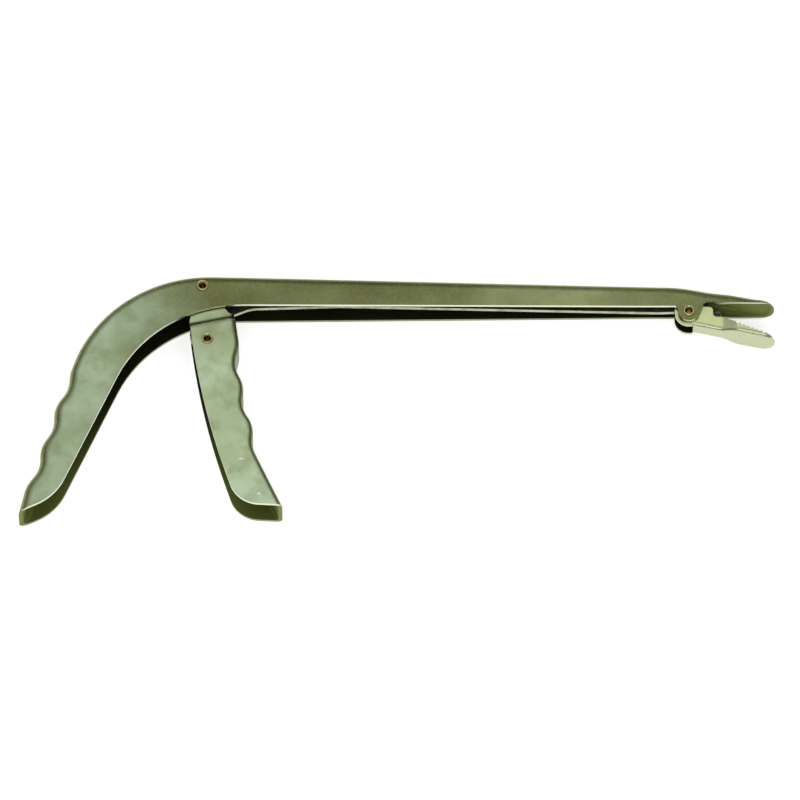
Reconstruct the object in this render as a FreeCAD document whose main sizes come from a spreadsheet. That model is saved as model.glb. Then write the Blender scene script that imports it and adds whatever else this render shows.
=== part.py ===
import FreeCAD, Part

import math
import os

import Sketcher
from FreeCAD import Vector

# A pistol-grip hook remover: a long-reach jaw tool made of stamped sheet-steel channels.
# It lies on its side. +X runs along the barrel to the jaws, +Y towards the barrel's closed top,
# and +Z, up, across the channels. The origin is where the trigger pivot's axis meets the
# surface that the rivet heads lie on.

doc = FreeCAD.newDocument("hook_remover")

# ---------------------------------------------------------------- driving dimensions
# Lengths in millimetres, angles in degrees. Each alias is the name used below.
SIZES = [
    ("sheet_metal", 1.1, "thickness of every stamping"),
    ("bend_inner", 2.0, "inner bend radius of the frame"),
    ("trigger_bend_inner", 0.8, "inner bend radius of the trigger"),
    ("jaw_bend_inner", 0.5, "inner bend radius of the lower jaw"),
    ("joggle_inner", 0.4, "inner corner radius of the trigger's joggle"),
    ("channel_width", 13.2, "outer width of the handle, the trigger and the barrel's rear"),
    ("neck_width", 9.6, "outer width of the barrel at the jaw pivot"),
    ("fixed_jaw_width", 11.8, "outer width of the upper jaw"),
    ("lower_jaw_width", 11.2, "outer width of the lower jaw's toothed part"),
    ("side_gap", 0.3, "gap between a nested channel and the one round it, each side"),
    ("head_height", 0.55, "height of a rivet head over the sheet"),
    ("head_radius", 1.9, "radius of a rivet head"),
    ("shank_radius", 1.2, "outer radius of a tubular rivet's shank"),
    ("rivet_bore", 0.8, "bore radius of a tubular rivet"),
    ("hinge_play", 0.05, "radial clearance of a moving part on its rivet"),
    ("barrel_top", 4.2, "height of the barrel's top over the trigger pivot"),
    ("pin_cover", 5.4, "height of the barrel's top over the jaw link pin"),
    ("barrel_bottom", 6.8, "drop of the barrel's open edge under the trigger pivot"),
    ("jaw_pivot_reach", 155.35, "trigger pivot to jaw pivot, along X"),
    ("jaw_pivot_drop", 8.0, "trigger pivot to jaw pivot, along -Y"),
    ("jaw_reach", 27.6, "jaw pivot to the upper jaw's tip"),
    ("jaw_fall", 11.1, "slope of the upper jaw's back behind its tip, degrees"),
    ("jaw_fall_length", 24.4, "length of the sloping part of the upper jaw's back"),
    ("jaw_fall_lead", 2.9, "how far behind the jaw pivot that slope starts"),
    ("ear_radius", 3.45, "radius of the pivot ears"),
    ("ear_slope", 68.0, "slope of the ears' front side, degrees"),
    ("rim_height", 2.4, "height of the upper jaw's rim over the jaw pivot"),
    ("rim_notch", 1.0, "rise of the rim in front of the ears"),
    ("bend_corner", 31.3, "trigger pivot back to the virtual corner of handle and barrel"),
    ("bend_radius", 45.5, "radius of the frame's back at the bend"),
    ("inner_bend_radius", 43.6, "radius of the frame's open edge at the bend"),
    ("inner_corner", 15.4, "trigger pivot back to the open edge's virtual corner"),
    ("handle_angle", 73.0, "slope of the handle's back"),
    ("handle_front_angle", 65.5, "slope of the handle's open edge"),
    ("handle_length", 53.6, "length of the handle's ridged back"),
    ("handle_cut", 24.0, "slope of the cut across the handle's end, degrees"),
    ("ridge_pitch", 14.4, "distance between finger ridges"),
    ("ridge_swing", 1.3, "how far a ridge's corner stands off the mean line"),
    ("trigger_front", 10.2, "trigger pivot to the trigger's front, along X"),
    ("trigger_top", 9.0, "trigger pivot to the top of the trigger's front, along -Y"),
    ("trigger_length", 70.7, "length of the trigger's front"),
    ("trigger_curve", 160.0, "radius that the trigger's front curves on"),
    ("trigger_cut", 3.0, "slope of the cut across the trigger's end, degrees"),
    ("trigger_lean", 82.4, "slope of the upper half of the trigger's rear edge, degrees"),
    ("trigger_lean_low", 71.7, "slope of the lower half of the trigger's rear edge, degrees"),
    ("joggle_drop", 13.6, "trigger pivot to the joggle, along -Y"),
    ("joggle_tilt", 12.0, "slope of the joggle along the wall, degrees"),
    ("joggle_run", 1.9, "height of the joggle's ramp"),
    ("tongue_gap", 1.35, "gap between the tongue's top and the barrel's web"),
    ("tongue_side_gap", 0.45, "gap between the tongue and the frame's side wall"),
    ("link_x", 1.65, "trigger pivot to the link rivet, along X"),
    ("link_drop", 18.8, "trigger pivot to the link rivet, along -Y"),
    ("bar_thickness", 1.5, "thickness of the pull bar"),
    ("bar_depth", 4.2, "depth of the pull bar"),
    ("bar_slack", 0.22, "play of the jaw link pin in the pull bar's eye"),
    ("link_pin_radius", 0.9, "radius of the jaw link pin"),
    ("link_arm", 3.9, "jaw pivot to the jaw link pin"),
    ("jaw_swing", 22.5, "angle that the lower jaw closes through"),
    ("spacer_radius", 1.9, "outer radius of a spacer tube"),
    ("spring_wire", 0.5, "wire diameter of the jaw spring"),
    ("spring_radius", 1.25, "outer radius of the spring's coil"),
    ("tooth_pitch", 1.48, "distance between teeth"),
    ("tooth_depth", 0.6, "depth of a tooth"),
    ("tooth_count", 7, "number of teeth on each wall of the lower jaw"),
    ("tooth_line", 21.8, "fall of the row of teeth towards the tip, degrees"),
    ("lower_jaw_reach", 27.8, "jaw pivot to the lower jaw's tip, along X"),
    ("lower_jaw_fall", 12.6, "slope of the lower jaw's web, degrees"),
    ("lower_jaw_rear", 4.5, "radius of the lower jaw's rear corner round the jaw pivot"),
]

sheet = doc.addObject("Spreadsheet::Sheet", "Dimensions")
for row, (alias, value, note) in enumerate(SIZES, 1):
    sheet.set(f"A{row}", alias)
    sheet.set(f"B{row}", str(value))
    sheet.set(f"C{row}", note)
    sheet.setAlias(f"B{row}", alias)
doc.recompute()


def size(alias):
    return float(sheet.get(alias))


MID_HEIGHT = "Dimensions.channel_width / 2 + Dimensions.head_height"
SHEET = size("sheet_metal")
FAR = 30.0            # how far a cutting outline runs past the metal it cuts
SPARE = 7.0           # how far a web's outline runs past the cut that ends it


# ---------------------------------------------------------------- plane geometry
def at(point, degrees, distance):
    """The point at a distance from another, in a direction."""
    turn = math.radians(degrees)
    return (point[0] + distance * math.cos(turn), point[1] + distance * math.sin(turn))


def crossing(point_a, degrees_a, point_b, degrees_b):
    """Where two lines meet, each given by a point and a direction."""
    ax, ay = math.cos(math.radians(degrees_a)), math.sin(math.radians(degrees_a))
    bx, by = math.cos(math.radians(degrees_b)), math.sin(math.radians(degrees_b))
    along = ((point_b[0] - point_a[0]) * by - (point_b[1] - point_a[1]) * bx) / (ax * by - ay * bx)
    return (point_a[0] + along * ax, point_a[1] + along * ay)


def turn_at(before, corner, after):
    """The signed turn, in radians, at a corner of a path."""
    first = math.atan2(corner[1] - before[1], corner[0] - before[0])
    second = math.atan2(after[1] - corner[1], after[0] - corner[0])
    return (second - first + math.pi) % (2 * math.pi) - math.pi


def shifted(path, distance):
    """An open path moved to its left by a distance; its corner radii keep the same centres."""
    moved = []
    for index, (x, y, radius) in enumerate(path):
        before = path[index - 1] if index else None
        after = path[index + 1] if index + 1 < len(path) else None
        here = (x, y)
        slope_in = slope_out = None
        if before:
            slope_in = math.degrees(math.atan2(y - before[1], x - before[0]))
        if after:
            slope_out = math.degrees(math.atan2(after[1] - y, after[0] - x))
        if slope_in is None or slope_out is None:
            slope = slope_out if slope_in is None else slope_in
            moved.append((*at(here, slope + 90, distance), 0))
            continue
        turn = turn_at(before, here, after)
        if abs(turn) < 1e-6:
            moved.append((*at(here, slope_in + 90, distance), radius))
            continue
        corner = crossing(
            at(here, slope_in + 90, distance), slope_in, at(here, slope_out + 90, distance), slope_out
        )
        grown = radius - distance if turn > 0 else radius + distance
        moved.append((*corner, max(grown, 0) if radius else 0))
    return moved


def outline(corners):
    """Lines and arcs of a closed outline whose corners are (x, y, radius)."""
    count = len(corners)
    ends = []
    pieces = []
    for index, (x, y, radius) in enumerate(corners):
        before = corners[index - 1]
        after = corners[(index + 1) % count]
        if radius <= 0:
            ends.append((Vector(x, y, 0), Vector(x, y, 0)))
            continue
        turn = turn_at(before, (x, y), after)
        reach = radius * math.tan(abs(turn) / 2)
        back = Vector(before[0] - x, before[1] - y, 0).normalize()
        ahead = Vector(after[0] - x, after[1] - y, 0).normalize()
        here = Vector(x, y, 0)
        start = here + back * reach
        end = here + ahead * reach
        inward = (back + ahead).normalize()
        middle = here + inward * (radius / math.cos(turn / 2) - radius)
        ends.append((start, end))
        pieces.append(Part.Arc(start, middle, end))
    for index, (_, end) in enumerate(ends):
        start = ends[(index + 1) % count][0]
        if (start - end).Length > 1e-7:
            pieces.append(Part.LineSegment(end, start))
    return pieces


def ridged(start, degrees, curve, length, first, steps, side):
    """A gripping edge: a gently curved mean line with finger ridges standing off it.

    It runs from start in a direction and turns left on the curve's radius (0 is straight).
    Its corners swing to one side of the line and the other, half a pitch apart. The first
    corner stands at first, on the given side, +1 left or -1 right.
    """
    pitch = size("ridge_pitch")
    swing = size("ridge_swing")
    half_turn = math.atan2(2 * swing, pitch / 2)
    round_off = 0.48 * math.hypot(pitch / 2, 2 * swing) / math.tan(half_turn)

    def mean(along):
        if not curve:
            return at(start, degrees, along), degrees
        turned = math.degrees(along / curve)
        chord = 2 * curve * math.sin(along / curve / 2)
        return at(start, degrees + turned / 2, chord), degrees + turned

    path = [(*start, round_off)]
    for step in range(steps):
        point, slope = mean(first + step * pitch / 2)
        offset = side * swing * (-1) ** step
        path.append((*at(point, slope + 90, offset), round_off))
    path.append((*mean(length)[0], 0))
    return path


# ---------------------------------------------------------------- document helpers
def plane_of(body, role):
    return next(item for item in body.Origin.OriginFeatures if item.Role == role)


def drawn(body, name, role, geometry):
    sketch = body.newObject("Sketcher::SketchObject", name)
    sketch.AttachmentSupport = (plane_of(body, role), [""])
    sketch.MapMode = "FlatFace"
    sketch.addGeometry(geometry, False)
    return sketch


def prism(name, role, geometry, length):
    """A body padded both ways from one of its own planes."""
    body = doc.addObject("PartDesign::Body", name)
    sketch = drawn(body, name + "_sketch", role, geometry)
    pad = body.newObject("PartDesign::Pad", name + "_pad")
    pad.Profile = sketch
    pad.Midplane = True
    pad.setExpression("Length", length)
    body.setExpression("Placement.Base.z", MID_HEIGHT)
    return body


def turned(name, half_section):
    """A body turned about its Z axis. half_section lists (radius, height) as expressions."""
    body = doc.addObject("PartDesign::Body", name)
    sketch = body.newObject("Sketcher::SketchObject", name + "_sketch")
    sketch.AttachmentSupport = (plane_of(body, "XZ_Plane"), [""])
    sketch.MapMode = "FlatFace"
    count = len(half_section)
    guess = [Vector(2.0 + math.cos(6.28 * i / count), math.sin(6.28 * i / count), 0) for i in range(count)]
    for index in range(count):
        sketch.addGeometry(Part.LineSegment(guess[index], guess[(index + 1) % count]), False)
    for index in range(count):
        sketch.addConstraint(Sketcher.Constraint("Coincident", index, 2, (index + 1) % count, 1))
    for index, (radius, height) in enumerate(half_section):
        for kind, expression, value in (
            ("DistanceX", radius, guess[index].x), ("DistanceY", height, guess[index].y)
        ):
            place = sketch.addConstraint(Sketcher.Constraint(kind, -1, 1, index, 1, value))
            sketch.setExpression(f"Constraints[{place}]", expression)
    turn = body.newObject("PartDesign::Revolution", name + "_turn")
    turn.Profile = sketch
    turn.ReferenceAxis = (sketch, ["V_Axis"])
    turn.Angle = 360
    return body


def combine(kind, name, base, tool):
    result = doc.addObject("Part::" + kind, name)
    result.Base = base
    result.Tool = tool
    return result


def open_pieces(path):
    """Lines and arcs of an open path, less the two lines that would close it."""
    away = Vector(path[0][0], path[0][1] - 1000, 0)
    pieces = outline(path + [(away.x, away.y, 0)])
    return [
        piece for piece in pieces
        if min((piece.StartPoint - away).Length, (piece.EndPoint - away).Length) > 1e-6
    ]


def rounded(name, base, web, radius):
    """Rounds the long edges where a channel's web meets its walls."""
    doc.recompute()
    line = Part.Wire(Part.__sortEdges__([piece.toShape() for piece in open_pieces(web)]))
    chosen = []
    for index, edge in enumerate(base.Shape.Edges, 1):
        first, last = edge.ParameterRange
        spots = [edge.valueAt(first + (last - first) * part) for part in (0.1, 0.5, 0.9)]
        if (spots[2] - spots[0]).cross(Vector(0, 0, 1)).Length < 1e-4:
            continue
        if max(line.distToShape(Part.Vertex(spot.x, spot.y, 0))[0] for spot in spots) < 0.02:
            chosen.append((index, radius, radius))
    fillet = doc.addObject("Part::Fillet", name)
    fillet.Base = base
    fillet.Edges = chosen
    return fillet


def channel(name, web, closings, role, sides, trim, bend, tilt=0.0):
    """A stamped channel: a rounded block less its rounded cavity, trimmed to its open edge.

    web is the outer line of the channel's web, with the metal on its left. closings end the
    outlines of the block and of the cavity. sides outline them across the width.
    """
    layers = []
    for layer, path, closing, across, radius in (
        ("block", web, closings[0], sides[0], bend + SHEET),
        ("cavity", shifted(web, SHEET), closings[1], sides[1], bend),
    ):
        side_view = prism(f"{name}_{layer}_side", "XY_Plane", outline(path + closing), "100 mm")
        width_view = prism(f"{name}_{layer}_width", role, outline(across), "1000 mm")
        width_view.Placement.Rotation = FreeCAD.Rotation(Vector(0, 0, 1), tilt)
        form = combine("Common", f"{name}_{layer}_form", side_view, width_view)
        layers.append(rounded(f"{name}_{layer}", form, path, radius))
    shell = combine("Cut", name + "_shell", layers[0], layers[1])
    edge = prism(name + "_trim", "XY_Plane", outline(trim), "100 mm")
    return combine("Common", name + "_trimmed", shell, edge)


def drilled(name, base, holes):
    """Cuts round holes through a piece; each hole is (x, y, radius) as expressions."""
    cutters = []
    for index, (x, y, radius) in enumerate(holes):
        cutter = doc.addObject("Part::Cylinder", f"{name}_hole_{index}")
        cutter.setExpression("Radius", radius)
        cutter.Height = 100
        cutter.setExpression("Placement.Base.x", x)
        cutter.setExpression("Placement.Base.y", y)
        cutter.Placement.Base.z = -50
        cutters.append(cutter)
    tool = cutters[0]
    if len(cutters) > 1:
        tool = doc.addObject("Part::MultiFuse", name + "_holes")
        tool.Shapes = cutters
    return combine("Cut", name, base, tool)


def both_halves(half):
    """A closed outline from the half on one side of the first axis."""
    return half + [(x, -y, radius) for x, y, radius in reversed(half)]


def widths(half):
    """Outlines across a channel's width, for its block and its cavity.

    half runs towards the front with the metal on its right. Where it ends on the first
    axis, the channel's end is closed and that point is shared by both sides.
    """
    outlines = []
    for path in (half, shifted(half, -SHEET)):
        closed_end = abs(path[-1][1]) < 1e-9
        outlines.append(both_halves(path[:-1] if closed_end else path))
    return outlines


# ---------------------------------------------------------------- shared places
HALF = size("channel_width") / 2
NECK = size("neck_width") / 2
NESTED = SHEET + size("side_gap")
PIVOT = (size("jaw_pivot_reach"), -size("jaw_pivot_drop"))
LINK = (size("link_x"), -size("link_drop"))
PIN = at(PIVOT, 90 - size("jaw_swing") / 2, size("link_arm"))
STEP = (PIVOT[0] + 7.75, PIVOT[1] - 1.4)      # corner behind the lower jaw's teeth

JAW_X = "Dimensions.jaw_pivot_reach"
JAW_Y = "-Dimensions.jaw_pivot_drop"
LINK_X = "Dimensions.link_x"
LINK_Y = "-Dimensions.link_drop"
PIN_X = f"{JAW_X} + Dimensions.link_arm * sin(Dimensions.jaw_swing * 0.5 deg)"
PIN_Y = f"{JAW_Y} + Dimensions.link_arm * cos(Dimensions.jaw_swing * 0.5 deg)"


# ---------------------------------------------------------------- frame
def frame():
    """Handle, bend, barrel, pivot ears and upper jaw, all one stamping."""
    top = (0, size("barrel_top"))
    tip_x = PIVOT[0] + size("jaw_reach")
    rim = PIVOT[1] + size("rim_height")
    knee = (PIVOT[0] - size("jaw_fall_lead"), PIN[1] + size("pin_cover"))
    fall = math.degrees(math.atan2(knee[1] - top[1], knee[0] - top[0]))
    brow = at(knee, -size("jaw_fall"), size("jaw_fall_length"))
    web_end = at(brow, -size("jaw_fall") / 2, SPARE)

    corner = at(top, fall, -size("bend_corner"))
    down = 180 + size("handle_angle")
    bend_turn = size("handle_angle") - fall
    bend_reach = size("bend_radius") * math.tan(math.radians(bend_turn / 2))
    straight = 2.0
    first_ridge = 6.2
    corners = 6
    grip_start = at(corner, down, bend_reach + straight)
    grip = ridged(grip_start, down, 0, size("handle_length") + SPARE, first_ridge, corners, 1)
    handle_tip = at(grip_start, down, size("handle_length") - straight)
    web = [(*web_end, 0), (*brow, 25), (*knee, 40), (*corner, size("bend_radius"))] + grip

    floor_y = handle_tip[1] - FAR
    block_end = [(grip[-1][0], floor_y, 0), (web_end[0], floor_y, 0)]
    cavity_web = shifted(web, SHEET)
    cavity_end = [(cavity_web[-1][0], floor_y - FAR, 0), (cavity_web[0][0], floor_y - FAR, 0)]

    taper_start = 15.0
    taper_end = PIVOT[0] - 15.0
    flare_start = PIVOT[0] + 5.6
    flare_end = PIVOT[0] + 13.0
    jaw_half = size("fixed_jaw_width") / 2
    half = [
        (handle_tip[0] - 4 * FAR, HALF, 0), (taper_start, HALF, 100), (taper_end, NECK, 100),
        (flare_start, NECK, 12), (flare_end, jaw_half, 12), (tip_x, jaw_half, 5), (tip_x, 0, 0),
    ]

    open_y = -size("barrel_bottom")
    front_slope = 180 + size("handle_front_angle")
    inner_corner = (-size("inner_corner"), open_y)
    scoop = crossing(inner_corner, front_slope, handle_tip, size("handle_cut"))
    ear = size("ear_radius")
    ear_side = at(PIVOT, size("ear_slope") - 90, ear)
    ear_foot = crossing(ear_side, size("ear_slope"), (0, PIVOT[1] - ear), 0)
    notch_y = rim + size("rim_notch")
    ear_top = crossing(ear_side, size("ear_slope"), (0, notch_y), 0)
    notch_end = ear_top[0] + 2.6
    rim_start = ear_top[0] + 4.2
    neck_rise = 0.5
    edge = [
        (*at(handle_tip, 180 + size("handle_cut"), FAR), 0),
        (*scoop, 18),
        (*inner_corner, size("inner_bend_radius")),
        (PIVOT[0] - ear, open_y + neck_rise, 1.3),
        (PIVOT[0] - ear, PIVOT[1] - ear, ear),
        (*ear_foot, ear),
        (*ear_top, 0.9),
        (notch_end, notch_y, 0.8),
        (rim_start, rim, 1.2),
        (tip_x + FAR, rim, 0),
        (tip_x + FAR, FAR, 0),
        (handle_tip[0] - 2 * FAR, FAR, 0),
        (handle_tip[0] - 2 * FAR, floor_y, 0),
    ]
    shell = channel(
        "frame_form", web, (block_end, cavity_end), "XZ_Plane", widths(half), edge,
        size("bend_inner"),
    )
    return drilled("frame_piece", shell, [
        ("0 mm", "0 mm", "Dimensions.shank_radius"),
        (JAW_X, JAW_Y, "Dimensions.shank_radius"),
    ])


# ---------------------------------------------------------------- trigger
def trigger():
    """A channel that opens rearwards, with a joggled tongue that goes up inside the frame."""
    front_top = (size("trigger_front"), -size("trigger_top"))
    length = size("trigger_length")
    curve = size("trigger_curve")
    first_ridge = 11.8
    corners = 6
    grip = ridged(front_top, -90, curve, length + SPARE, first_ridge, corners, 1)
    end_turn = math.degrees(length / curve)
    front_end = at(front_top, -90 + end_turn / 2, 2 * curve * math.sin(length / curve / 2))
    above = FAR
    web = list(reversed(grip)) + [(front_top[0], above, 0)]
    behind = -3 * FAR
    block_end = [(behind, above, 0), (behind, web[0][1], 0)]
    cavity_end = [(behind - FAR, above, 0), (behind - FAR, web[0][1], 0)]
    joggle = -size("joggle_drop")
    joggle_bend = size("joggle_inner") + SHEET
    tongue = HALF - SHEET - size("tongue_side_gap")
    half = [
        (front_end[1] - 4 * FAR, HALF, 0), (joggle, HALF, joggle_bend),
        (joggle + size("joggle_run"), tongue, joggle_bend), (2 * FAR, tongue, 0),
    ]
    rear_top = (-4.1, -12.2)
    rear_curve = 260
    rear_middle = at(rear_top, -size("trigger_lean"), 0.42 * length)
    cut_slope = 180 - size("trigger_cut")
    rear_foot = crossing(rear_middle, -size("trigger_lean_low"), front_end, cut_slope)
    eye = size("barrel_top") - SHEET - size("tongue_gap")
    shoulder = (8.4, front_top[1])
    reach = math.hypot(*shoulder)
    touch = math.degrees(math.atan2(shoulder[1], shoulder[0]) + math.acos(eye / reach))
    eye_corner = crossing(shoulder, touch + 90, (0, eye), 0)
    edge = [
        (*rear_top, 1.0),
        (*rear_middle, rear_curve),
        (*rear_foot, 10),
        (*at(front_end, cut_slope - 180, FAR), 0),
        (front_end[0] + FAR, front_top[1], 0),
        (*shoulder, 0.8),
        (*eye_corner, eye),
        (-eye, eye, eye),
    ]
    shell = channel(
        "trigger_form", web, (block_end, cavity_end), "YZ_Plane", widths(half), edge,
        size("trigger_bend_inner"), size("joggle_tilt"),
    )
    return drilled("trigger_piece", shell, [
        ("0 mm", "0 mm", "Dimensions.shank_radius + Dimensions.hinge_play"),
        (LINK_X, LINK_Y, "Dimensions.shank_radius"),
    ])


# ---------------------------------------------------------------- lower jaw
def teeth(front, slope):
    """The corners of a row of teeth that starts at its front tooth and runs rearwards."""
    corners = []
    for index in range(int(size("tooth_count"))):
        tip = at(front, slope, index * size("tooth_pitch"))
        root = at(tip, slope, size("tooth_pitch") * 0.55)
        corners.append((*tip, 0))
        corners.append((*at(root, slope + 90, size("tooth_depth")), 0))
    corners.append((*at(front, slope, len(corners) / 2 * size("tooth_pitch")), 0))
    return corners


def lower_jaw():
    """A channel that opens upwards, nested in the ears, with toothed walls that flare out."""
    heel = (PIVOT[0] + 1.05, PIVOT[1] - 4.2)
    tip_x = PIVOT[0] + size("lower_jaw_reach")
    web_end = crossing(heel, -size("lower_jaw_fall"), (tip_x + SPARE, 0), 90)
    web = [(*heel, 0), (*web_end, 0)]
    behind = PIVOT[0] - FAR
    block_end = [(web_end[0], FAR, 0), (behind, FAR, 0), (behind, -FAR, 0), (heel[0], -FAR, 0)]
    inner = shifted(web, SHEET)
    cavity_end = [
        (inner[1][0], 2 * FAR, 0), (behind - FAR, 2 * FAR, 0), (behind - FAR, -2 * FAR, 0),
        (inner[0][0], -2 * FAR, 0),
    ]
    narrow = NECK - NESTED
    wide = size("lower_jaw_width") / 2
    flare_start = PIVOT[0] + 11.0
    flare_end = PIVOT[0] + 15.2
    half = [
        (0, narrow, 0), (flare_start, narrow, 5), (flare_end, wide, 5),
        (tip_x, wide, 5), (tip_x, 0, 0),
    ]
    disc = size("lower_jaw_rear")
    lug = 1.6
    tooth_front = (PIVOT[0] + 24.55, PIVOT[1] - 8.0)
    nose_y = tooth_front[1] - 1.3
    lobe_y = PIVOT[1] + 2.0
    edge = [
        (PIVOT[0] - disc, PIVOT[1] - disc, disc),
        (heel[0], PIVOT[1] - disc, 0),
        (heel[0], -2 * FAR, 0),
        (tip_x + FAR, -2 * FAR, 0),
        (tip_x + FAR, nose_y, 0),
        (tip_x - 0.15, nose_y, 1.0),
    ]
    edge += teeth(tooth_front, 180 - size("tooth_line"))
    edge += [
        (PIVOT[0] + 14.3, PIVOT[1] - 3.7, 0.4),
        (STEP[0] + 2.8, STEP[1] - 0.2, 0.8),
        (*STEP, 1.1),
        (STEP[0], lobe_y, 1.25),
        (PIVOT[0] + 4.9, lobe_y, 0.8),
        (PIN[0] + lug + 0.4, PIN[1] + lug, lug),
        (PIN[0] - lug - 0.2, PIN[1] + lug, lug),
        (PIVOT[0] - disc, PIVOT[1] + 1.5, 3),
    ]
    shell = channel(
        "lower_jaw_form", web, (block_end, cavity_end), "XZ_Plane", widths(half), edge,
        size("jaw_bend_inner"),
    )
    return drilled("lower_jaw_piece", shell, [
        (JAW_X, JAW_Y, "Dimensions.shank_radius + Dimensions.hinge_play"),
        (PIN_X, PIN_Y, "Dimensions.link_pin_radius"),
    ])


# ---------------------------------------------------------------- pull bar
def pull_bar():
    """A flat strip on edge: it leaves the trigger over its front and runs down the barrel."""
    half_depth = size("bar_depth") / 2
    knee = (7.6, -6.3)
    rise = (15.0, -3.2)
    crest = (44.0, -2.3)
    neck = (PIVOT[0] - 9.4, PIN[1] - 0.42)
    heading = math.degrees(math.atan2(knee[1] - LINK[1], knee[0] - LINK[0]))
    leaving = math.degrees(math.atan2(PIN[1] - neck[1], PIN[0] - neck[0]))
    line = [
        (*at(LINK, heading, -half_depth), 0), (*knee, 6), (*rise, 14), (*crest, 60), (*neck, 60),
        (*at(PIN, leaving, half_depth), 0),
    ]
    upper = shifted(line, half_depth)
    lower = list(reversed(shifted(line, -half_depth)))
    corners = upper + lower
    rounded_ends = (0, len(upper) - 1, len(upper), len(corners) - 1)
    for index in rounded_ends:
        corners[index] = (*corners[index][:2], half_depth)
    strip = prism("pull_bar_strip", "XY_Plane", outline(corners), "Dimensions.bar_thickness")
    return drilled("pull_bar_piece", strip, [
        (LINK_X, LINK_Y, "Dimensions.shank_radius + Dimensions.hinge_play"),
        (PIN_X, PIN_Y, "Dimensions.link_pin_radius + Dimensions.bar_slack"),
    ])


# ---------------------------------------------------------------- rivets, spacers and pin
def place(body, x, y):
    body.setExpression("Placement.Base.x", x)
    body.setExpression("Placement.Base.y", y)
    body.setExpression("Placement.Base.z", MID_HEIGHT)
    return body


def tubular_rivet(name, width, x, y):
    """A hollow rivet with a rolled head on each side of what it joins."""
    face = f"{width} * 0.5"
    crown = f"({face} + Dimensions.head_height)"
    brow = f"({face} + Dimensions.head_height * 0.45)"
    bore = "Dimensions.rivet_bore"
    shank = "Dimensions.shank_radius"
    head = "Dimensions.head_radius"
    roll = "(Dimensions.head_radius * 0.5 + Dimensions.rivet_bore * 0.5)"
    lower_half = [
        (shank, f"-{face}"), (head, f"-{face}"), (head, f"-{brow}"), (roll, f"-{crown}"),
        (bore, f"-{crown}"),
    ]
    upper_half = [(bore, crown), (roll, crown), (head, brow), (head, face), (shank, face)]
    return place(turned(name, lower_half + upper_half), x, y)


def tube(name, inner, outer, low, high, x, y):
    return place(turned(name, [(inner, low), (outer, low), (outer, high), (inner, high)]), x, y)


def trigger_pivot_spacer():
    tongue = "Dimensions.channel_width * 0.5 - Dimensions.sheet_metal - Dimensions.tongue_side_gap"
    inside = f"({tongue} - Dimensions.sheet_metal - Dimensions.side_gap)"
    return tube(
        "trigger_pivot_spacer_piece", "Dimensions.shank_radius", "Dimensions.spacer_radius",
        f"-{inside}", inside, "0 mm", "0 mm",
    )


def link_spacers():
    near = "(Dimensions.bar_thickness * 0.5 + Dimensions.side_gap)"
    far = "(Dimensions.channel_width * 0.5 - Dimensions.sheet_metal)"
    bore = "Dimensions.shank_radius"
    outer = "Dimensions.spacer_radius"
    pair = doc.addObject("Part::Compound", "link_spacer_pair")
    pair.Links = [
        tube("link_spacer_upper", bore, outer, near, far, LINK_X, LINK_Y),
        tube("link_spacer_lower", bore, outer, f"-{far}", f"-{near}", LINK_X, LINK_Y),
    ]
    return pair


def jaw_link_pin():
    reach = "(Dimensions.neck_width * 0.5 - Dimensions.sheet_metal - Dimensions.side_gap)"
    pin = "Dimensions.link_pin_radius"
    section = [("0 mm", f"-{reach}"), (pin, f"-{reach}"), (pin, reach), ("0 mm", reach)]
    return place(turned("jaw_link_pin_piece", section), PIN_X, PIN_Y)


# ---------------------------------------------------------------- jaw spring
def jaw_spring():
    """A torsion spring across the lower jaw: its coil sits in the step behind the teeth."""
    wire = size("spring_wire")
    coil = size("spring_radius") - wire / 2
    half_length = NECK - NESTED - SHEET - 0.35
    middle_height = HALF + size("head_height")
    centre = Vector(STEP[0] + 1.4, STEP[1] + 1.45, middle_height)
    turns = 6.5
    helix = Part.makeHelix(2 * half_length / turns, 2 * half_length, coil)
    start = helix.Vertexes[0].Point
    profile = Part.Wire([Part.makeCircle(wire / 2, start, Vector(0, 1, 0))])
    coiled = Part.Wire(helix.Edges).makePipeShell([profile], True, True)
    coiled.translate(centre - Vector(0, 0, half_length))
    low = Vector(centre.x + coil, centre.y, centre.z - half_length)
    high = Vector(centre.x - coil, centre.y, centre.z + half_length)
    down_end = Vector(low.x - 0.6, PIVOT[1] - 4.9, low.z)
    up_end = Vector(PIVOT[0] + 0.7, PIVOT[1] + 6.2, high.z)
    elbow = Vector(PIVOT[0] + 5.2, PIVOT[1] + 3.7, high.z)
    solid = coiled
    for first, last in ((low, down_end), (high, elbow), (elbow, up_end)):
        run = last - first
        solid = solid.fuse(Part.makeCylinder(wire / 2, run.Length, first, run))
    for joint in (low, high, elbow):
        solid = solid.fuse(Part.makeSphere(wire / 2, joint))
    spring = doc.addObject("Part::Feature", "jaw_spring_piece")
    spring.Shape = solid
    return spring


# ---------------------------------------------------------------- the assembly
NODES = {
    "frame": frame(),
    "trigger": trigger(),
    "lower_jaw": lower_jaw(),
    "pull_bar": pull_bar(),
    "trigger_pivot_rivet": tubular_rivet(
        "trigger_pivot_rivet_piece", "Dimensions.channel_width", "0 mm", "0 mm"
    ),
    "trigger_pivot_spacer": trigger_pivot_spacer(),
    "link_rivet": tubular_rivet(
        "link_rivet_piece", "Dimensions.channel_width", LINK_X, LINK_Y
    ),
    "link_spacers": link_spacers(),
    "jaw_pivot_rivet": tubular_rivet(
        "jaw_pivot_rivet_piece", "Dimensions.neck_width", JAW_X, JAW_Y
    ),
    "jaw_link_pin": jaw_link_pin(),
    "jaw_spring": jaw_spring(),
}

doc.recompute()
for item in doc.Objects:
    if "Invalid" in item.State or "Error" in item.State:
        raise RuntimeError(f"{item.Name} failed: {item.State}")

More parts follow.
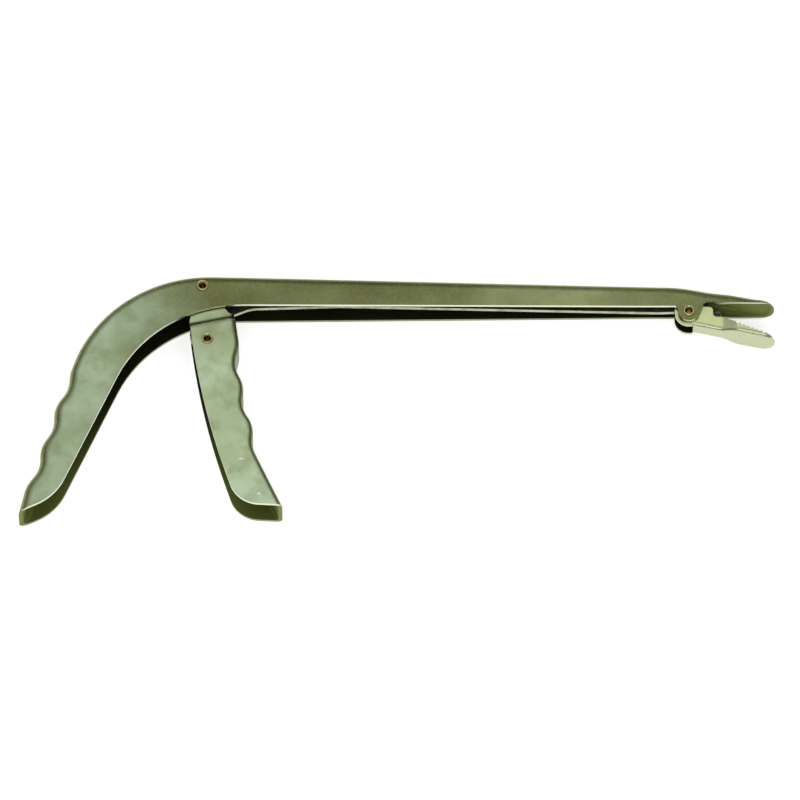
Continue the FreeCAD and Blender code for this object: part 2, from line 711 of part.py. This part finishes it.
os.makedirs("parts", exist_ok=True)
for node, item in NODES.items():
    item.Label = node
    shape = item.Shape
    if shape.isNull() or not shape.isValid() or not shape.Solids:
        raise RuntimeError(f"{node} has no valid solid")
    shape.exportStep(f"parts/{node}.step")
    print(f"{node}: {len(shape.Solids)} solid(s), {shape.Volume:.1f} mm3, {shape.BoundBox}")
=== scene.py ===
import math

import bmesh
import bpy
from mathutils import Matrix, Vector


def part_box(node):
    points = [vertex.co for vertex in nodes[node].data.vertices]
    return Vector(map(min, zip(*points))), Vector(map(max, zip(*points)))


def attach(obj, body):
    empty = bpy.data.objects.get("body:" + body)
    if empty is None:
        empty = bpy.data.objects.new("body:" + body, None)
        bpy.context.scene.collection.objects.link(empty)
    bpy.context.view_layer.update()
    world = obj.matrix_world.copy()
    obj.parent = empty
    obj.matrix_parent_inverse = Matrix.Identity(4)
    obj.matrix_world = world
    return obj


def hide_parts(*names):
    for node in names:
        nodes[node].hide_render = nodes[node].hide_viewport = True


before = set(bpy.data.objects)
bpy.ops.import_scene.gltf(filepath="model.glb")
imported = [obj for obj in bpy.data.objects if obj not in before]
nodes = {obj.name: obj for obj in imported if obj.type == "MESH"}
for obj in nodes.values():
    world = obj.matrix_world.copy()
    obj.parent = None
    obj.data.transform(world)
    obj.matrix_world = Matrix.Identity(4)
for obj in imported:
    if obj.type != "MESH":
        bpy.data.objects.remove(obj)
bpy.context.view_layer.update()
MM = 0.001
SHEET = 1.1 * MM          # thickness of the stampings
MIDDLE = 7.15 * MM        # height of the plane between the channels' side walls
RIVET_HEAD = 0.55 * MM    # height of a rivet head over the sheet
RIVET_BORE = 0.80 * MM
RIVET_SHANK = 1.20 * MM


# ---------------------------------------------------------------- node helpers
class Graph:
    """A material's node tree, with short calls for the nodes that it needs."""

    def __init__(self, name):
        self.material = bpy.data.materials.new(name)
        self.material.use_nodes = True
        self.tree = self.material.node_tree
        self.tree.nodes.clear()
        self.output = self.tree.nodes.new("ShaderNodeOutputMaterial")
        self.shader = self.tree.nodes.new("ShaderNodeBsdfPrincipled")
        self.link(self.shader.outputs["BSDF"], self.output.inputs["Surface"])
        self.coordinates = self.tree.nodes.new("ShaderNodeTexCoord")
        self.place = self.coordinates.outputs["Object"]
        split = self.tree.nodes.new("ShaderNodeSeparateXYZ")
        self.link(self.place, split.inputs[0])
        self.x, self.y, self.z = split.outputs
        turn = self.tree.nodes.new("ShaderNodeSeparateXYZ")
        self.link(self.coordinates.outputs["Normal"], turn.inputs[0])
        self.nx, self.ny, self.nz = turn.outputs

    def link(self, source, target):
        self.tree.links.new(source, target)

    def feed(self, socket, value):
        if hasattr(value, "is_linked") or hasattr(value, "links"):
            self.link(value, socket)
        else:
            socket.default_value = value

    def math(self, kind, a, b=0.0, c=0.0, clamp=False):
        node = self.tree.nodes.new("ShaderNodeMath")
        node.operation = kind
        node.use_clamp = clamp
        for socket, value in zip(node.inputs, (a, b, c)):
            self.feed(socket, value)
        return node.outputs[0]

    def ramp(self, value, low, high, out_low=0.0, out_high=1.0, smooth=True):
        node = self.tree.nodes.new("ShaderNodeMapRange")
        node.interpolation_type = "SMOOTHSTEP" if smooth else "LINEAR"
        for name, number in (
            ("Value", value), ("From Min", low), ("From Max", high),
            ("To Min", out_low), ("To Max", out_high),
        ):
            self.feed(node.inputs[name], number)
        return node.outputs["Result"]

    def noise(self, scale, detail=3.0, rough=0.55, stretch=None, distortion=0.0):
        node = self.tree.nodes.new("ShaderNodeTexNoise")
        node.inputs["Scale"].default_value = scale
        node.inputs["Detail"].default_value = detail
        node.inputs["Roughness"].default_value = rough
        node.inputs["Distortion"].default_value = distortion
        source = self.place
        if stretch:
            mapping = self.tree.nodes.new("ShaderNodeMapping")
            mapping.inputs["Scale"].default_value = stretch
            self.link(self.place, mapping.inputs["Vector"])
            source = mapping.outputs["Vector"]
        self.link(source, node.inputs["Vector"])
        return node.outputs["Fac"]

    def mix(self, amount, a, b):
        node = self.tree.nodes.new("ShaderNodeMix")
        node.data_type = "RGBA"
        self.feed(node.inputs[0], amount)
        self.feed(node.inputs[6], a)
        self.feed(node.inputs[7], b)
        return node.outputs[2]

    def bump(self, height, strength, distance, under=None):
        node = self.tree.nodes.new("ShaderNodeBump")
        node.inputs["Strength"].default_value = strength
        node.inputs["Distance"].default_value = distance
        self.link(height, node.inputs["Height"])
        if under is not None:
            self.link(under, node.inputs["Normal"])
        return node.outputs["Normal"]

    def soft_edges(self, radius):
        node = self.tree.nodes.new("ShaderNodeBevel")
        node.samples = 4
        node.inputs["Radius"].default_value = radius
        return node.outputs["Normal"]

    def blob(self, x, y, radius_x, radius_y):
        """1 at a place on the side walls, fading to 0 at an ellipse round it."""
        across = self.math("DIVIDE", self.math("SUBTRACT", self.x, x), radius_x)
        along = self.math("DIVIDE", self.math("SUBTRACT", self.y, y), radius_y)
        distance = self.math("SQRT", self.math("ADD", self.math("POWER", across, 2.0),
                                               self.math("POWER", along, 2.0)))
        return self.ramp(distance, 0.0, 1.0, 1.0, 0.0)

    def facing_side(self):
        """1 on the flat side walls, 0 on bends, webs and cut edges."""
        return self.ramp(self.math("ABSOLUTE", self.nz), 0.80, 0.995)


def rgb(red, green, blue):
    """A colour given as 8-bit display values."""
    def linear(value):
        value /= 255
        return value / 12.92 if value <= 0.04045 else ((value + 0.055) / 1.055) ** 2.4
    return (linear(red), linear(green), linear(blue), 1.0)


# ---------------------------------------------------------------- materials
CUT_PAINTED_HIGHLIGHT = rgb(226, 226, 200)           # sheared edge of an upper wall: bare metal with a painted highlight
CUT_LOW_PAINTED_SHADE = rgb(142, 152, 126)       # sheared edge of a lower wall: the same bare edge with painted shade
HOLLOW_PAINTED_SHADE = rgb(50, 54, 30)           # painted shade inside the channels
HOLLOW_PAINTED_LIGHT = rgb(128, 136, 74)     # painted light inside, near the open ends
WEB_PAINTED_SHADE = rgb(84, 86, 40)        # painted shade on the outside of the webs
SPECK = rgb(226, 230, 206)
SCUFF = rgb(238, 240, 226)
# painted highlight along the trigger's joggle crease
CREASE_PAINTED_HIGHLIGHT = rgb(244, 244, 222)


def plated(name, wall, cloud, bend, rough, half, outward, tint=None, marks=(), scuffs=(), crease=None,
           shade=0.75, dull=None):
    """Yellow-zinc plating on sheet steel: cloudy walls, with painted light and shade on cut edges,
    bends, webs and in the hollow.

    half gives half the outer width at a place, and outward is above 0 on the web's outside.
    marks are shallow dents (x, y, radius, radius, depth) and scuffs are bright scratches
    (x, y, radius, radius), in millimetres on the side walls. crease and dull are masks.
    """
    g = Graph(name)
    clouds = g.ramp(g.noise(62, 4, 0.6), 0.36, 0.66)
    patches = g.ramp(g.noise(190, 4, 0.6), 0.40, 0.68)
    specks = g.ramp(g.noise(900, 2, 0.5), 0.42, 0.70)
    colour = g.mix(clouds, wall, cloud)
    if tint is not None:
        colour = tint(g, colour)
    # The bend colour is painted light and shade: painted shade on the frame and trigger, a painted
    # highlight on the lower jaw. Random patches lean towards it, and bends, webs and cut edges take it.
    colour = g.mix(g.math("MULTIPLY", patches, 0.28), colour, bend)
    side = g.facing_side()
    off_side = g.math("SUBTRACT", 1.0, side, clamp=True)
    colour = g.mix(g.math("MULTIPLY", off_side, 0.9), colour, bend)
    colour = g.mix(g.math("MULTIPLY", specks, 0.07), colour, SPECK)

    level = g.math("ABSOLUTE", g.nz)
    depth = g.math("SUBTRACT", half(g), g.math("ABSOLUTE", g.math("SUBTRACT", g.z, MIDDLE)))
    turned_in = g.ramp(outward(g), 0.02, 0.08, 1.0, 0.0)
    hollow = g.math("MULTIPLY", g.ramp(depth, 0.93 * SHEET, 0.97 * SHEET), turned_in)
    across = g.ramp(level, 0.30, 0.40, 1.0, 0.0)
    in_wall = g.ramp(depth, 1.01 * SHEET, 1.06 * SHEET, 1.0, 0.0)
    cut = g.math("MULTIPLY", g.math("MULTIPLY", across, in_wall), turned_in)
    # Painted shade inside the channels, painted lighter towards the open ends.
    painted_light_at_ends = g.math("MAXIMUM", g.ramp(g.y, -0.030, -0.070), g.ramp(g.x, 0.158, 0.167))
    colour = g.mix(hollow, colour, g.mix(painted_light_at_ends, HOLLOW_PAINTED_SHADE, HOLLOW_PAINTED_LIGHT))
    # Painted shade on the outside of the webs and bends; none on the lower jaw.
    on_web = g.math("MULTIPLY", g.ramp(level, 0.15, 0.60, 1.0, 0.0), g.math("SUBTRACT", 1.0, turned_in))
    colour = g.mix(g.math("MULTIPLY", on_web, shade), colour, WEB_PAINTED_SHADE)
    # Cut edges: bare metal, with a painted highlight on the upper wall's edges and painted shade on the
    # lower wall's.
    upper_wall = g.ramp(g.z, MIDDLE - SHEET, MIDDLE + SHEET)
    colour = g.mix(cut, colour, g.mix(upper_wall, CUT_LOW_PAINTED_SHADE, CUT_PAINTED_HIGHLIGHT))
    upper_face = g.math("MULTIPLY", side, g.ramp(g.z, MIDDLE + 5.6 * MM, MIDDLE + 6.1 * MM))
    for x, y, radius_x, radius_y in scuffs:
        scuff = g.math("MULTIPLY", g.blob(x * MM, y * MM, radius_x * MM, radius_y * MM), upper_face)
        colour = g.mix(g.math("MULTIPLY", scuff, 1.6, clamp=True), colour, SCUFF)
    # Painted highlight along the trigger's joggle crease.
    if crease is not None:
        colour = g.mix(g.math("MULTIPLY", crease(g), 0.85), colour, CREASE_PAINTED_HIGHLIGHT)

    shine = g.math("ADD", g.math("MULTIPLY", clouds, 0.10), rough)
    shine = g.math("ADD", shine, g.math("MULTIPLY", specks, 0.05))
    shine = g.math("ADD", shine, g.math("MULTIPLY", hollow, 0.25))

    rolling = g.math("MULTIPLY", g.noise(140, 3, 0.5), 0.6)
    grain = g.math("MULTIPLY", g.noise(1400, 2, 0.5), 0.05)
    height = g.math("ADD", rolling, grain)
    for x, y, radius_x, radius_y, dent in marks:
        place = g.blob(x * MM, y * MM, radius_x * MM, radius_y * MM)
        mark = g.math("MULTIPLY", place, g.noise(230, 2, 0.5))
        height = g.math("ADD", height, g.math("MULTIPLY", mark, dent))
    normal = g.bump(height, 0.5, 0.00025, g.soft_edges(0.00018))
    g.link(normal, g.shader.inputs["Normal"])
    g.link(colour, g.shader.inputs["Base Color"])
    g.link(shine, g.shader.inputs["Roughness"])
    metallic = 1.0 if dull is None else g.math("SUBTRACT", 1.0, g.math("MULTIPLY", dull(g), 0.85))
    g.feed(g.shader.inputs["Metallic"], metallic)
    return g.material


def frame_half(g):
    """Half the frame's width: full at the rear, narrower to the neck, wider again in the jaw."""
    taper = g.ramp(g.x, 0.015, 0.140, 0.0066, 0.0048, smooth=False)
    return g.math("ADD", taper, g.ramp(g.x, 0.1609, 0.1684, 0.0, 0.0011, smooth=False))


def frame_outward(g):
    """Above 0 on the outside of the barrel's top and of the handle's back."""
    return g.math("MAXIMUM", g.ny, g.math("SUBTRACT", g.math("MULTIPLY", g.nx, -1.0), 0.5))


def jaw_flare(g):
    """1 where the lower jaw's walls lean outwards ahead of its ears."""
    lean = g.math("ABSOLUTE", g.nz)
    return g.math("MULTIPLY", g.ramp(lean, 0.70, 0.84), g.ramp(lean, 0.90, 0.985, 1.0, 0.0))


def joggle_height(g):
    """Distance up the trigger, square to its tilted joggle."""
    tilt = math.radians(12)
    up = g.math("MULTIPLY", g.y, math.cos(tilt))
    return g.math("SUBTRACT", up, g.math("MULTIPLY", g.x, math.sin(tilt)))


def trigger_half(g):
    """Half the trigger's width: the tongue above the joggle is narrower."""
    return g.ramp(joggle_height(g), -0.0136, -0.0117, 0.0066, 0.00505, smooth=False)


def trigger_painted_shade(g, colour):
    """Painted shade: darker towards the joggle and on the tongue above it."""
    near = g.ramp(joggle_height(g), -0.034, -0.012)
    return g.mix(g.math("MULTIPLY", near, 0.6), colour, rgb(150, 160, 118))


def trigger_crease_highlight(g):
    """1 along the joggle's lower crease, where a bright highlight is painted."""
    away = g.math("ABSOLUTE", g.math("ADD", joggle_height(g), 0.0133))
    return g.ramp(away, 0.0003, 0.0006, 1.0, 0.0)


def jaw_half(g):
    """Half the lower jaw's width: narrow between the ears, wide at the teeth."""
    return g.ramp(g.x, 0.1664, 0.1706, 0.0034, 0.0056, smooth=False)


def frame_painted_reflection(g, colour):
    """Painted reflection: darker olive along the barrel, with random streaks and a brighter painted
    stretch; greener and paler on the handle.
    """
    waver = g.math("MULTIPLY", g.math("SUBTRACT", g.noise(45, 2, 0.5), 0.5), 0.022)
    along = g.math("ADD", g.x, waver)
    barrel = g.ramp(along, -0.032, 0.004)
    streaks = g.ramp(g.noise(34, 3, 0.5, (0.35, 1, 1)), 0.38, 0.64)
    olive = g.mix(streaks, rgb(101, 106, 63), rgb(124, 131, 86))
    # Painted brighter reflection on a stretch of the barrel.
    painted_lighter_band = g.math("MULTIPLY", g.ramp(along, 0.080, 0.100), g.ramp(along, 0.150, 0.120))
    olive = g.mix(g.math("MULTIPLY", painted_lighter_band, 0.80), olive, rgb(152, 162, 114))
    return g.mix(barrel, colour, olive)


def metal(name, base, dark, rough, grain, soft=0.00010):
    """A small turned or drawn piece: fine grain and a little dirt in it."""
    g = Graph(name)
    dirt = g.ramp(g.noise(grain, 4, 0.6), 0.38, 0.70)
    colour = g.mix(g.math("MULTIPLY", dirt, 0.55), base, dark)
    g.link(colour, g.shader.inputs["Base Color"])
    g.link(g.math("ADD", g.math("MULTIPLY", dirt, 0.16), rough), g.shader.inputs["Roughness"])
    fine = g.noise(grain * 3, 2, 0.5)
    g.link(g.bump(fine, 0.2, 0.00005, g.soft_edges(soft)), g.shader.inputs["Normal"])
    g.shader.inputs["Metallic"].default_value = 1.0
    return g.material


def dress(node, material):
    data = nodes[node].data
    data.materials.clear()
    data.materials.append(material)


SAGE = rgb(170, 188, 158)
SAGE_CLOUD = rgb(162, 180, 142)
# painted shade on the frame's bends and webs
OLIVE_BEND_PAINTED_SHADE = rgb(122, 124, 62)

# The frame's tint paints a darker reflection along the barrel.
dress("frame", plated(
    "plating_frame_with_painted_light", SAGE, SAGE_CLOUD, OLIVE_BEND_PAINTED_SHADE, 0.30, frame_half, frame_outward, frame_painted_reflection,
    marks=((-16, -8, 14, 10, 1.6), (-31, -22, 12, 14, 0.7), (2, -6, 8, 5, 0.8)),
))
# The trigger's dark bend colour is painted shade.
dress("trigger", plated(
    "plating_trigger_with_painted_light", rgb(186, 206, 174), rgb(182, 200, 158), rgb(104, 110, 52), 0.28,
    trigger_half, lambda g: g.nx, trigger_painted_shade,
    marks=((6, -12, 8, 5, 0.8), (14, -66, 10, 12, 0.5)),
    scuffs=((12.7, -61.4, 1.4, 0.35), (18.4, -73.6, 0.8, 0.4)), crease=trigger_crease_highlight,
))
# The lower jaw's pale bend colour is a painted highlight on its bend and web.
dress("lower_jaw", plated(
    "plating_lower_jaw_with_painted_light", rgb(193, 205, 147), rgb(186, 198, 150), rgb(182, 186, 154), 0.20,
    jaw_half, lambda g: g.math("MULTIPLY", g.ny, -1.0),
    marks=((170, -12, 8, 5, 0.5),), shade=0.0, dull=jaw_flare,
))
dress("pull_bar", metal("plating_pull_bar", rgb(186, 190, 168), rgb(120, 124, 84), 0.28, 260))
for inner_node, inner_name in (
    ("trigger_pivot_spacer", "steel_trigger_spacer"),
    ("link_spacers", "steel_link_spacers"),
    ("jaw_link_pin", "steel_link_pin"),
):
    dress(inner_node, metal(inner_name, rgb(110, 108, 88), rgb(40, 38, 28), 0.4, 500))
dress("jaw_spring", metal("steel_spring_wire", rgb(120, 122, 112), rgb(38, 38, 32), 0.25, 700, 0.00004))
BRASS = metal("brass_rivets", rgb(216, 206, 156), rgb(128, 104, 58), 0.20, 900, 0.00004)


# ---------------------------------------------------------------- rivets
def lathe(name, x, y, outline, steps=64):
    """A closed ring turned about an upright axis. outline lists (radius, height)."""
    mesh = bpy.data.meshes.new(name)
    build = bmesh.new()
    rings = []
    for step in range(steps):
        turn = 2 * math.pi * step / steps
        rings.append([
            build.verts.new((x + radius * math.cos(turn), y + radius * math.sin(turn), height))
            for radius, height in outline
        ])
    count = len(outline)
    for step in range(steps):
        here, there = rings[step], rings[(step + 1) % steps]
        for index in range(count):
            after = (index + 1) % count
            build.faces.new((here[index], there[index], there[after], here[after]))
    bmesh.ops.recalc_face_normals(build, faces=build.faces)
    for face in build.faces:
        face.smooth = True
    build.to_mesh(mesh)
    build.free()
    piece = bpy.data.objects.new(name, mesh)
    bpy.context.scene.collection.objects.link(piece)
    return piece


def rolled_rivet(name, node, body):
    """A hollow rivet whose ends are rolled over into round lips."""
    low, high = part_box(node)
    x, y = (low.x + high.x) / 2, (low.y + high.y) / 2
    middle = (low.z + high.z) / 2
    half = (high.z - low.z) / 2
    head = (high.x - low.x) / 2
    face = half - RIVET_HEAD
    lip = 0.35 * MM
    upper = [(RIVET_SHANK, middle), (RIVET_SHANK, middle + face)]
    for step in range(13):
        turn = math.radians(step * 12.5)
        rise = RIVET_HEAD * math.sin(turn)
        upper.append((head - lip + lip * math.cos(turn), middle + face + rise))
    funnel = ((1.10, 0.04), (0.97, -0.22), (0.87, -0.55), (0.81, -1.0))
    upper += [(radius * MM, middle + face + height * MM) for radius, height in funnel]
    upper.append((RIVET_BORE, middle))
    lower = [(radius, 2 * middle - height) for radius, height in reversed(upper[1:-1])]
    piece = lathe(name, x, y, upper + lower)
    piece.data.materials.append(BRASS)
    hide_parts(node)
    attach(piece, body)
    return piece


rolled_rivet("rivet_trigger_pivot", "trigger_pivot_rivet", "frame")
rolled_rivet("rivet_link", "link_rivet", "trigger")
rolled_rivet("rivet_jaw_pivot", "jaw_pivot_rivet", "frame")


# ---------------------------------------------------------------- floor, light and camera
def floor():
    mesh = bpy.data.meshes.new("floor")
    half = 3.0
    corners = [(-half, -half, 0), (half, -half, 0), (half, half, 0), (-half, half, 0)]
    mesh.from_pydata(corners, [], [(0, 1, 2, 3)])
    piece = bpy.data.objects.new("floor", mesh)
    bpy.context.scene.collection.objects.link(piece)
    piece.location = (0.06, -0.04, -0.0002)
    g = Graph("floor_paper")
    g.shader.inputs["Base Color"].default_value = (0.92, 0.92, 0.92, 1)
    g.shader.inputs["Roughness"].default_value = 0.9
    g.shader.inputs["Specular IOR Level"].default_value = 0.1
    g.shader.inputs["Emission Color"].default_value = (1, 1, 1, 1)
    g.shader.inputs["Emission Strength"].default_value = 0.62
    piece.data.materials.append(g.material)


floor()


def soft_light(name, place, aim, width, depth, power):
    light = bpy.data.lights.new(name, "AREA")
    light.shape = "RECTANGLE"
    light.size = width
    light.size_y = depth
    light.energy = power
    lamp = bpy.data.objects.new(name, light)
    bpy.context.scene.collection.objects.link(lamp)
    lamp.location = place
    lamp.rotation_euler = (Vector(aim) - Vector(place)).to_track_quat("-Z", "Y").to_euler()
    return lamp


AIM = (0.06, -0.04, 0.01)
soft_light("key_overhead", (0.0, 0.45, 1.5), AIM, 1.1, 0.9, 1.6)
soft_light("fill_front", (0.1, -1.3, 1.1), AIM, 1.4, 0.8, 8)

world = bpy.data.worlds.new("studio")
world.use_nodes = True
bpy.context.scene.world = world
tree = world.node_tree
tree.nodes.clear()
background = tree.nodes.new("ShaderNodeBackground")
ending = tree.nodes.new("ShaderNodeOutputWorld")
way = tree.nodes.new("ShaderNodeTexCoord")
parts = tree.nodes.new("ShaderNodeSeparateXYZ")
ramp = tree.nodes.new("ShaderNodeValToRGB")
tree.links.new(way.outputs["Generated"], parts.inputs[0])
tree.links.new(parts.outputs["Z"], ramp.inputs["Fac"])
tree.links.new(ramp.outputs["Color"], background.inputs["Color"])
tree.links.new(background.outputs["Background"], ending.inputs["Surface"])
ramp.color_ramp.elements[0].position = 0.05
ramp.color_ramp.elements[0].color = (0.12, 0.12, 0.12, 1)
ramp.color_ramp.elements[1].position = 0.80
ramp.color_ramp.elements[1].color = (0.56, 0.56, 0.56, 1)
background.inputs["Strength"].default_value = 1.0

camera_data = bpy.data.cameras.new("camera")
camera = bpy.data.objects.new("camera", camera_data)
bpy.context.scene.collection.objects.link(camera)
bpy.context.scene.camera = camera
ELEVATION = math.radians(64.0)
DISTANCE = 4.0
FRAME_WIDTH = 800 * 0.000318      # how wide a stretch the picture shows at the object
LOOK_AT = Vector((0.06310, -0.04068, 0.01375))
toward = Vector((0.0, -math.cos(ELEVATION), math.sin(ELEVATION)))
camera.location = LOOK_AT + toward * DISTANCE
camera.rotation_euler = (-toward).to_track_quat("-Z", "Y").to_euler()
camera_data.sensor_width = 36
camera_data.lens = camera_data.sensor_width * DISTANCE / FRAME_WIDTH
camera_data.clip_end = 50

bpy.context.scene.view_settings.view_transform = "Standard"
